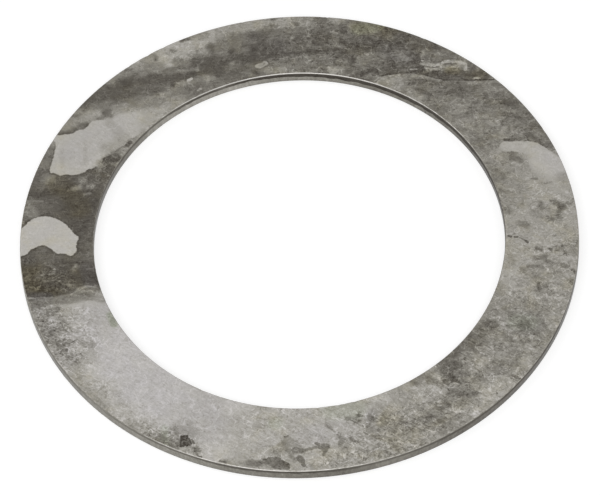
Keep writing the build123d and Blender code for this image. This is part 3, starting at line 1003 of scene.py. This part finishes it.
def lay_map(mesh, radius, height):
    """Unrolls the surface into strips, each once round the section and part of the way round the ring."""
    steps = np.hypot(np.roll(radius, -1) - radius, np.roll(height, -1) - height)
    reached = np.concatenate([[0], np.cumsum(steps)]) / steps.sum()
    row, step = np.divmod(np.arange(len(mesh.polygons)), SEGMENTS)
    strip_length = SEGMENTS // MAP_STRIPS
    strip, along = np.divmod(step, strip_length)
    across = np.stack([reached[row], reached[row], reached[row + 1], reached[row + 1]], axis=1)
    along = np.stack([along, along + 1, along + 1, along], axis=1) / strip_length
    u = MAP_GAP + along * (1 - 2 * MAP_GAP)
    v = (strip[:, None] + across) / MAP_STRIPS
    v = v + MAP_GAP * (1 - 2 * across)
    layer = mesh.uv_layers.new(name="OFBake")
    layer.uv.foreach_set("vector", np.stack([u, v], axis=-1).astype(np.float32).ravel())


def note(mesh, name, values):
    """Keeps a value for each vertex, for the materials to read."""
    attribute = mesh.attributes.new(name, "FLOAT", "POINT")
    attribute.data.foreach_set("value", np.asarray(values, np.float32))


def paint(mesh, place, below):
    """Paints the stains and bare patches on the vertices. The bottom face has them the other way round."""
    flat = place[:, :2]
    turned = np.stack([flat[:, 1], flat[:, 0]], axis=1) * (-1, 1)
    flat = np.where(below[:, None], turned, flat)
    films = {}
    for name, (of_stains, of_spots) in FILMS.items():
        stains = painted(flat + strays(flat, *of_stains), GROUND_TONE, STAINS)
        films[name] = painted(flat + strays(flat, *of_spots), stains, SPOTS)
        note(mesh, name, films[name])
    note(mesh, "bare depth", np.max([depth_inside(flat, outline) for outline in BARE_PATCHES], axis=0))
    for name, ground, strokes in (
            ("bare tone", films["film"], BARE_TONES), ("broken", BROKEN_GROUND, BROKEN),
            ("clouded", 0, CLOUDED), ("level", 0, LEVEL), ("tint", 0, TINTS), ("green", 0, GREENS)):
        note(mesh, name, painted(flat, ground, strokes))


class Bench:
    """A node tree, with short ways to set nodes in it and join them.

    Wherever a value is asked for, it is a plain number, a tuple or another node's output.
    """

    def __init__(self, tree):
        self.tree = tree

    def feed(self, socket, value):
        if isinstance(value, bpy.types.NodeSocket):
            self.tree.links.new(value, socket)
        else:
            socket.default_value = value

    def put(self, kind, inputs=None, **settings):
        node = self.tree.nodes.new("ShaderNode" + kind)
        for name, setting in settings.items():
            setattr(node, name, setting)
        for name, value in (inputs or {}).items():
            self.feed(node.inputs[name], value)
        return node

    def group(self, name, **inputs):
        """What one of the shared effects gives. Its inputs are given by their names in small letters."""
        node = self.tree.nodes.new("ShaderNodeGroup")
        node.node_tree = bpy.data.node_groups[name]
        for label, value in inputs.items():
            self.feed(node.inputs[label.replace("_", " ").title()], value)
        return node.outputs

    def blotches(self, place, **inputs):
        return self.group("Blotches", place=place, **inputs)["Value"]

    def read(self, name):
        """The value that each vertex keeps under that name."""
        return self.put("Attribute", attribute_name=name).outputs["Fac"]

    def noise(self, place, scale, detail, roughness=0.5):
        return self.put("TexNoise", {
            "Vector": place, "Scale": scale, "Detail": detail, "Roughness": roughness}).outputs

    def calc(self, operation, *values, clamp=False):
        node = self.put("Math", operation=operation, use_clamp=clamp)
        for socket, value in zip(node.inputs, values):
            self.feed(socket, value)
        return node.outputs[0]

    def times(self, value, factor):
        return self.calc("MULTIPLY", value, factor)

    def less(self, value, amount):
        return self.calc("SUBTRACT", value, amount)

    def times_plus(self, value, factor, amount):
        return self.calc("MULTIPLY_ADD", value, factor, amount)

    def spread(self, value, gain):
        """A value about a half, as noise gives it, spread about 0."""
        return self.times(self.less(value, 0.5), gain)

    def add_up(self, *parts):
        """The sum of the parts, each a value, or a value and what it is multiplied by."""
        values = [self.times(*part) if isinstance(part, tuple) else part for part in parts]
        total = values[0]
        for value in values[1:]:
            total = self.calc("ADD", total, value)
        return total

    def move(self, operation, *values):
        node = self.put("VectorMath", operation=operation)
        for socket, value in zip(node.inputs, values):
            self.feed(socket, value)
        return node.outputs["Value" if operation in ("LENGTH", "DOT_PRODUCT") else "Vector"]

    def scaled(self, vector, factor):
        node = self.put("VectorMath", {"Vector": vector, "Scale": factor}, operation="SCALE")
        return node.outputs["Vector"]

    def ease(self, value, low, high, start=0.0, end=1.0):
        """Takes the value from start to end as it goes from low to high, smoothly."""
        inputs = {"Value": value, "From Min": low, "From Max": high, "To Min": start, "To Max": end}
        return self.put("MapRange", inputs, interpolation_type="SMOOTHSTEP").outputs["Result"]

    def mix(self, share, first, second):
        node = self.put("Mix", data_type="FLOAT")
        for place, value in zip((0, 2, 3), (share, first, second)):
            self.feed(node.inputs[place], value)
        return node.outputs[0]

    def tinted(self, share, colour, tint):
        """The colour with a share of the tint multiplied in."""
        node = self.put("Mix", data_type="RGBA", blend_type="MULTIPLY")
        for place, value in zip((0, 6, 7), (share, colour, tint)):
            self.feed(node.inputs[place], value)
        return node.outputs[2]


def new_group(name, inputs, *outputs):
    """A shader group: its bench, what it is given and what it gives.

    The inputs are named with their defaults, and those without one are vectors.
    """
    tree = bpy.data.node_groups.new(name, "ShaderNodeTree")
    for label, default in inputs.items():
        kind = "NodeSocketVector" if default is None else "NodeSocketFloat"
        socket = tree.interface.new_socket(name=label, in_out="INPUT", socket_type=kind)
        if default is not None:
            socket.default_value = default
    for label in outputs:
        kind = "NodeSocketColor" if label == "Color" else "NodeSocketFloat"
        tree.interface.new_socket(name=label, in_out="OUTPUT", socket_type=kind)
    given = tree.nodes.new("NodeGroupInput").outputs
    gives = tree.nodes.new("NodeGroupOutput").inputs
    return Bench(tree), given, gives


def make_blotches():
    """Cloudy blotches with ragged edges, about -1 to 1."""
    bench, given, gives = new_group(
        "Blotches", {"Place": None, "Size": 1.0, "Stretch": 1.0, "Swirl": 0.5, "Detail": 4.0}, "Value")
    narrow = bench.calc("DIVIDE", 1.0, given["Stretch"])
    squeeze = bench.put("CombineXYZ", {"X": narrow, "Y": 1.0, "Z": 1.0}).outputs["Vector"]
    place = bench.move("MULTIPLY", given["Place"], squeeze)
    fineness = bench.calc("DIVIDE", 1.0, given["Size"])
    swirl = bench.move("SUBTRACT", bench.noise(place, fineness, detail=1.0)["Color"], NOISE_MIDDLE)
    sizes_of_swirl = 2.0
    reach = bench.times(given["Swirl"], bench.times(given["Size"], sizes_of_swirl))
    place = bench.move("ADD", place, bench.scaled(swirl, reach))
    cloud = bench.noise(place, fineness, given["Detail"], roughness=0.6)["Fac"]
    bench.feed(gives["Value"], bench.spread(cloud, NOISE_GAIN))


def make_grain():
    """Fine lines that run one way in the face, about -1 to 1."""
    bench, given, gives = new_group(
        "Grain", {"Place": None, "Direction": 0.0, "Length": 6.0, "Width": 0.2}, "Value")
    turn = bench.times(given["Direction"], -math.pi / 180)
    turned = bench.put("VectorRotate", {"Vector": given["Place"], "Angle": turn}, rotation_type="Z_AXIS")
    along = bench.calc("DIVIDE", 1.0, given["Length"])
    across = bench.calc("DIVIDE", 1.0, given["Width"])
    squeeze = bench.put("CombineXYZ", {"X": along, "Y": across, "Z": across}).outputs["Vector"]
    place = bench.move("MULTIPLY", turned.outputs["Vector"], squeeze)
    bench.feed(gives["Value"], bench.spread(bench.noise(place, scale=1.0, detail=2.0)["Fac"], NOISE_GAIN))


def make_creases():
    """Fine wandering creases that come and go, as a mask."""
    bench, given, gives = new_group("Creases", {"Place": None, "Size": 1.0, "Width": 0.15}, "Mask")
    field = bench.noise(given["Place"], bench.calc("DIVIDE", 1.0, given["Size"]), detail=1.0)["Color"]
    split = bench.put("SeparateColor", {"Color": field}).outputs
    # the line where one smooth field crosses its middle, wherever another one is high
    slope = 0.25
    high = (0.42, 0.56)
    off_line = bench.calc("ABSOLUTE", bench.less(split["Red"], 0.5))
    line = bench.ease(off_line, 0.0, bench.times(given["Width"], slope), 1.0, 0.0)
    bench.feed(gives["Mask"], bench.times(line, bench.ease(split["Green"], *high)))


def make_ragged_patch():
    """A patch with a frayed edge, from a depth that is above 0 inside it, and the line outside its edge."""
    bench, given, gives = new_group(
        "Ragged patch", {"Place": None, "Depth": 0.0, "Fray": 0.1, "Fray Size": 0.6, "Softness": 0.1},
        "Patch", "Outline")
    fineness = bench.calc("DIVIDE", 1.0, given["Fray Size"])
    fray = bench.noise(given["Place"], fineness, detail=3.0, roughness=0.6)["Fac"]
    depth = bench.times_plus(bench.spread(fray, FRAY_GAIN), given["Fray"], given["Depth"])
    softness = given["Softness"]
    bench.feed(gives["Patch"], bench.ease(depth, bench.times(softness, -1.0), softness))
    # how far out the line lies and how wide it is, as multiples of the softness
    line_depth = 2.0
    line_reach = 2.5
    off_line = bench.calc("ABSOLUTE", bench.times_plus(softness, line_depth, depth))
    line = bench.ease(off_line, 0.0, bench.times(softness, line_reach), 1.0, 0.0)
    bench.feed(gives["Outline"], line)


def make_specks():
    """Scattered round specks. Share is how many of the places for one have one."""
    bench, given, gives = new_group(
        "Specks", {"Place": None, "Spacing": 1.5, "Radius": 0.15, "Share": 0.4}, "Mask")
    fineness = bench.calc("DIVIDE", 1.0, given["Spacing"])
    cells = bench.put("TexVoronoi", {"Vector": given["Place"], "Scale": fineness, "Randomness": 1.0}).outputs
    lot = bench.put("SeparateColor", {"Color": cells["Color"]}).outputs
    distance = bench.times(cells["Distance"], given["Spacing"])
    least, range_of_sizes = 0.4, 0.8
    core = 0.4
    radius = bench.times(given["Radius"], bench.times_plus(lot["Green"], range_of_sizes, least))
    spot = bench.ease(distance, bench.times(radius, core), radius, 1.0, 0.0)
    bench.feed(gives["Mask"], bench.times(spot, bench.calc("LESS_THAN", lot["Red"], given["Share"])))


def make_mark():
    """One small mark laid over the tone, a straight stroke with round ends on the top face.

    Its place hangs on the tone by a hair, so that the renderer works out one mark after another. It has too
    little room to keep the parts of them all.
    """
    bench, given, gives = new_group("Mark", {
        "Tone": 0.5, "Place": None, "Level": 0.5, "Start": None, "End": None, "Half Width": 0.1,
        "Feather": 0.1}, "Tone")
    place = bench.move("ADD", given["Place"], bench.times(given["Tone"], HAIR))
    run = bench.move("SUBTRACT", given["End"], given["Start"])
    reach = bench.move("SUBTRACT", place, given["Start"])
    share = bench.calc(
        "DIVIDE", bench.move("DOT_PRODUCT", reach, run), bench.move("DOT_PRODUCT", run, run), clamp=True)
    distance = bench.move("LENGTH", bench.move("SUBTRACT", reach, bench.scaled(run, share)))
    outside = bench.calc("ADD", given["Half Width"], given["Feather"])
    mask = bench.ease(distance, given["Half Width"], outside, 1.0, 0.0)
    bench.feed(gives["Tone"], bench.mix(mask, given["Tone"], given["Level"]))


def make_steel_tone():
    """The colour of the steel from its tone, from dark film at 0 to bright metal at 1.

    The tint goes from cool at -1 to olive brown at 1.
    """
    bench, given, gives = new_group("Steel tone", {"Tone": 0.5, "Tint": 0.0, "Green": 0.0}, "Color")
    ramp = bench.put("ValToRGB", {"Fac": given["Tone"]})
    stops = ramp.color_ramp.elements
    while len(stops) < len(STEEL_TONES):
        stops.new(0.5)
    for stop, (tone, colour) in zip(stops, STEEL_TONES):
        stop.position = tone
        stop.color = colour_of(colour)
    olive = bench.calc("MAXIMUM", given["Tint"], 0.0)
    cool = bench.calc("MAXIMUM", bench.times(given["Tint"], -1.0), 0.0)
    colour = ramp.outputs["Color"]
    for share, tint in ((olive, OLIVE_TINT), (cool, COOL_TINT), (given["Green"], GREEN_TINT)):
        colour = bench.tinted(share, colour, colour_of(tint))
    bench.feed(gives["Color"], colour)


def colour_of(levels):
    """The colour whose red, green and blue have these levels from 0 to 255 on a screen."""
    shares = [level / 255 for level in levels]
    return tuple(s / 12.92 if s <= 0.04045 else ((s + 0.055) / 1.055) ** 2.4 for s in shares) + (1.0,)


def new_material(name):
    """A material, its bench, its shader and the place on the object in millimetres."""
    material = bpy.data.materials.new(name)
    material.use_nodes = True
    bench = Bench(material.node_tree)
    shader = material.node_tree.nodes["Principled BSDF"]
    where = bench.put("TexCoord").outputs["Object"]
    return material, bench, shader, bench.move("MULTIPLY", where, (1 / MM, 1 / MM, 1 / MM))


def finish(bench, shader, tone, metal, roughness, height, relief, **tints):
    """Dresses the shader in steel of that tone, raised by the relief, in millimetres, at a height of 1."""
    bump = bench.put("Bump", {"Strength": 1.0, "Distance": relief * MM, "Height": height})
    for label, value in {
            "Base Color": bench.group("Steel tone", tone=tone, **tints)["Color"], "Metallic": metal,
            "Roughness": roughness, "Normal": bump.outputs["Normal"]}.items():
        bench.feed(shader.inputs[label], value)


def rolled_face():
    """The rolled faces: film and scale in clouds, bare metal where they have come away, and small marks."""
    material, bench, shader, place = new_material("rolled_face")
    broken, bare = bench.read("broken"), bench.read("bare tone")
    patch = bench.group(
        "Ragged patch", place=place, depth=bench.read("bare depth"), fray=0.12, fray_size=0.5, softness=0.08)

    # flecks of the film nearby lie in the film here, which breaks up the edges of the stains
    flakes = bench.blotches(place, size=0.35, stretch=1.3, swirl=0.8)
    flaking = bench.times(bench.ease(flakes, *FLAKING), bench.ease(broken, *FLAKING_WHERE))
    film = bench.mix(flaking, bench.read("film"), bench.read("film nearby"))
    tone = bench.mix(patch["Patch"], film, bare)
    # where bare metal meets darker film, the film is darkest along its edge
    outline = bench.ease(bench.less(bare, film), *OUTLINE_STEPS, 0.0, SHIFTS["outline"])
    tone = add_marks(bench, place, bench.times_plus(patch["Outline"], outline, tone))

    # the rest is stronger where the surface is broken up, and weaker on bright bare metal
    calm = bench.times(patch["Patch"], bench.ease(bare, *CALM_TONES))
    amount = bench.times(broken, bench.mix(calm, 1.0, CALM))
    clouds = bench.blotches(place, size=1.4, stretch=1.4, swirl=0.9, detail=2.0)
    mottle = bench.blotches(place, size=0.65, stretch=1.2, swirl=1.0, detail=2.0)
    chips = bench.blotches(place, size=0.30, stretch=1.3, swirl=1.0, detail=1.0)
    hue = bench.blotches(place, size=2.2, stretch=1.3, swirl=0.4)
    aside, far_aside = (bench.move("ADD", place, offset) for offset in ((17, 5, 0), (31, 3, 0)))
    creases = bench.group("Creases", place=place, size=0.8, width=0.15)["Mask"]
    ridges = bench.group("Creases", place=aside, size=1.2, width=0.15)["Mask"]
    ripples = bench.group("Creases", place=far_aside, size=0.6, width=0.20)["Mask"]
    falling, level = (
        bench.group("Grain", place=place, direction=direction, length=1.1, width=0.24)["Value"]
        for direction in (-38.0, 2.0))
    dashes = bench.mix(bench.read("level"), falling, level)
    # the mottle turns into patches at its ends, and into more of them where the surface is broken up
    patch_level = bench.times_plus(amount, PATCH_GAIN, PATCH_LEVEL)
    dark_patches = bench.ease(bench.less(mottle, patch_level), 0.0, PATCH_SOFTNESS)
    light_patches = bench.ease(bench.calc("ADD", mottle, patch_level), -PATCH_SOFTNESS, 0.0, 1.0, 0.0)
    light_from, light_to = DASHING
    shift = bench.add_up(
        (bench.ease(clouds, *CLOUDING), bench.mix(bench.read("clouded"), *CLOUD_SHIFTS)),
        (mottle, SHIFTS["mottle"]),
        bench.ease(chips, -CHIPPING, CHIPPING, -SHIFTS["chips"], SHIFTS["chips"]),
        (creases, SHIFTS["creases"]),
        (ridges, SHIFTS["ridges"]),
        (ripples, SHIFTS["ripples"]),
        bench.ease(dashes, light_from, light_to, 0.0, SHIFTS["light dashes"]),
        bench.ease(dashes, -light_to, -light_from, SHIFTS["dark dashes"], 0.0),
        (dark_patches, SHIFTS["dark patches"]),
        (light_patches, SHIFTS["light patches"]))
    tone = bench.times_plus(shift, amount, tone)
    grit = bench.noise(place, scale=4.5, detail=1.0, roughness=0.8)["Fac"]
    tone = bench.times_plus(bench.less(grit, GRIT_MIDDLE), SHIFTS["grit"], tone)
    specks = bench.group("Specks", place=place, spacing=1.2, radius=0.18, share=0.40)["Mask"]
    flecks = bench.group("Specks", place=place, spacing=0.9, radius=0.15, share=0.35)["Mask"]
    tone = bench.times_plus(bench.times(specks, amount), SHIFTS["specks"], tone)
    tone = bench.times_plus(bench.times(flecks, amount), SHIFTS["flecks"], tone)

    textures = {"mottle": mottle, "specks": specks, "creases": creases, "ridges": ridges, "ripples": ripples}
    height = bench.add_up(*((texture, RELIEF[name]) for name, texture in textures.items()))
    finish(bench, shader, tone, bench.ease(tone, *FACE_METAL), bench.ease(tone, *FACE_ROUGHNESS),
           bench.times(height, amount), FACE_RELIEF,
           tint=bench.times_plus(hue, HUE_SWAY, bench.read("tint")), green=bench.read("green"))
    return material


def add_marks(bench, place, tone):
    """The tone with the small marks of the top face laid over it."""
    ragged = bench.move("SUBTRACT", bench.noise(place, scale=4.0, detail=2.0)["Color"], NOISE_MIDDLE)
    ragged = bench.move("MULTIPLY", ragged, MARK_RAGGEDNESS)
    # the marks lie at one height, and the bottom face is a long way from it
    lift = (1.0, 1.0, 20.0)
    spot = bench.move("ADD", bench.move("MULTIPLY", place, lift), ragged)
    height = THICKNESS * lift[2]
    for level, half_width, feather, *ends in MARKS:
        tone = bench.group(
            "Mark", tone=tone, place=spot, level=level, start=(*ends[:2], height), end=(*ends[2:], height),
            half_width=half_width, feather=feather)["Tone"]
    return tone


def cut_edge():
    """The sheared walls: the land with the die's fine upright lines, and the dark torn break above it."""
    material, bench, shader, place = new_material("cut_edge")
    height = bench.put("SeparateXYZ", {"Vector": place}).outputs["Z"]
    lines = bench.noise(bench.move("MULTIPLY", place, UPRIGHT), scale=3.0, detail=2.0)["Fac"]
    lines = bench.less(lines, 0.5)
    clouds = bench.blotches(place, size=1.6, swirl=0.6)
    flecks = bench.blotches(place, size=0.4, swirl=0.8)
    grit = bench.blotches(place, size=0.2, swirl=0.3)
    torn = bench.group(
        "Ragged patch", place=place, depth=bench.read("above tear"), fray=0.05, fray_size=0.5,
        softness=0.07)["Patch"]
    # painted shade: the land darkens towards the die roll at the foot of the wall
    shade = bench.ease(height, DIE_ROLL_HEIGHT, LAND_SHADE_TOP, *LAND_SHADE)
    land = bench.add_up(
        bench.read("land tone"), (lines, LAND_SHIFTS["lines"]), (clouds, LAND_SHIFTS["clouds"]),
        (flecks, LAND_SHIFTS["flecks"]), shade)
    rough = bench.add_up(
        bench.read("break tone"), (grit, BREAK_SHIFTS["grit"]), (clouds, BREAK_SHIFTS["clouds"]))
    # the head of the break takes the tone of the edge above it: its rubbed wear and its painted highlight
    worn_and_lit = bench.ease(height, THICKNESS - WORN_AND_LIT_DEPTH, THICKNESS - EDGE_RADIUS)
    tone = bench.mix(torn, land, bench.mix(worn_and_lit, rough, bench.read("edge tone and highlight")))
    finish(bench, shader, tone, bench.mix(torn, *WALL_METAL), bench.mix(torn, *WALL_ROUGHNESS),
           bench.mix(torn, bench.times(lines, LINE_RELIEF), grit), WALL_RELIEF)
    return material


def broken_edge():
    """The tumbled edge of the top face, rubbed bright in places, and with a painted highlight where it faces
    the key lamp.
    """
    material, bench, shader, place = new_material("broken_edge")
    clouds = bench.blotches(place, size=0.7, swirl=0.5)
    grit = bench.blotches(place, size=0.25, swirl=0.3)
    tone = bench.add_up(
        bench.read("edge tone and highlight"), (clouds, EDGE_SHIFTS["clouds"]), (grit, EDGE_SHIFTS["grit"]))
    finish(bench, shader, tone, 1.0, bench.ease(tone, *EDGE_ROUGHNESS), grit, EDGE_RELIEF)
    return material


def new_object(name, data):
    """An object in the scene."""
    thing = bpy.data.objects.new(name, data)
    bpy.context.scene.collection.objects.link(thing)
    return thing


def make_camera():
    """The camera, looking down at the ring from the near side."""
    rise = math.radians(CAMERA_ELEVATION)
    stand = Vector((0, -math.cos(rise), math.sin(rise))) * CAMERA_DISTANCE * MM
    data = bpy.data.cameras.new("camera")
    data.lens = LENS
    data.sensor_width = SENSOR_WIDTH
    data.clip_start = CLIP_START * MM
    data.clip_end = CLIP_END * MM
    camera = new_object("camera", data)
    aim = (Vector(CAMERA_TARGET) * MM - stand).to_track_quat("-Z", "Y").to_matrix().to_4x4()
    roll = Matrix.Rotation(math.radians(CAMERA_ROLL), 4, "Z")
    camera.matrix_world = Matrix.Translation(stand) @ aim @ roll
    bpy.context.scene.camera = camera


def seen_directly(bench):
    """1 for the rays that show the backdrop itself: from the camera, in a reflection or through glass."""
    path = bench.put("LightPath").outputs
    seen = bench.calc("MAXIMUM", path["Is Camera Ray"], path["Is Glossy Ray"])
    return bench.calc("MAXIMUM", seen, path["Is Transmission Ray"])


def make_world():
    """A white backdrop, which gives matt surfaces a softer fill."""
    world = bpy.data.worlds.new("studio")
    world.use_nodes = True
    bpy.context.scene.world = world
    bench = Bench(world.node_tree)
    background = world.node_tree.nodes["Background"]
    background.inputs["Color"].default_value = (1, 1, 1, 1)
    bench.feed(background.inputs["Strength"], bench.mix(seen_directly(bench), FILL_LIGHT, 1.0))


def make_floor():
    """A white floor that keeps the ring's soft shadow."""
    half = FLOOR_WIDTH / 2 * MM
    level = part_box(NODE)[0].z - FLOOR_DROP * MM
    corners = [(x * half, y * half, level) for x, y in ((-1, -1), (1, -1), (1, 1), (-1, 1))]
    mesh = bpy.data.meshes.new("floor")
    mesh.from_pydata(corners, [], [(0, 1, 2, 3)])
    material, bench, shader, _ = new_material("floor")
    for label, value in {
            "Base Color": (FLOOR_GREY, FLOOR_GREY, FLOOR_GREY, 1), "Roughness": 1.0,
            "Specular IOR Level": 0.0, "Emission Color": (1, 1, 1, 1),
            "Emission Strength": bench.times(seen_directly(bench), FLOOR_GLOW)}.items():
        bench.feed(shader.inputs[label], value)
    mesh.materials.append(material)
    floor = new_object("floor", mesh)


def make_lamps():
    """Broad soft lamps, each as strong as it takes to give a level face its share of the light."""
    for name, (direction, distance, width, share) in LAMPS.items():
        toward = Vector(direction).normalized()
        data = bpy.data.lights.new(name, "AREA")
        data.size = width * MM
        data.energy = share * (math.pi * distance * MM) ** 2 / toward.z
        aim = toward.to_track_quat("Z", "Y").to_matrix().to_4x4()
        new_object(name, data).matrix_world = Matrix.Translation(toward * distance * MM) @ aim


def make_ring():
    """The dressed ring, which stands for the solid one."""
    mesh = ring_mesh()
    for make_finish in (rolled_face, cut_edge, broken_edge):
        mesh.materials.append(make_finish())
    ring = new_object("dressed_ring", mesh)
    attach(ring, "root")
    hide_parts(NODE)


bpy.context.scene.view_settings.view_transform = "Standard"
make_camera()
make_world()
make_floor()
make_lamps()
for make_group in (
        make_blotches, make_grain, make_creases, make_ragged_patch, make_specks, make_mark, make_steel_tone):
    make_group()
make_ring()
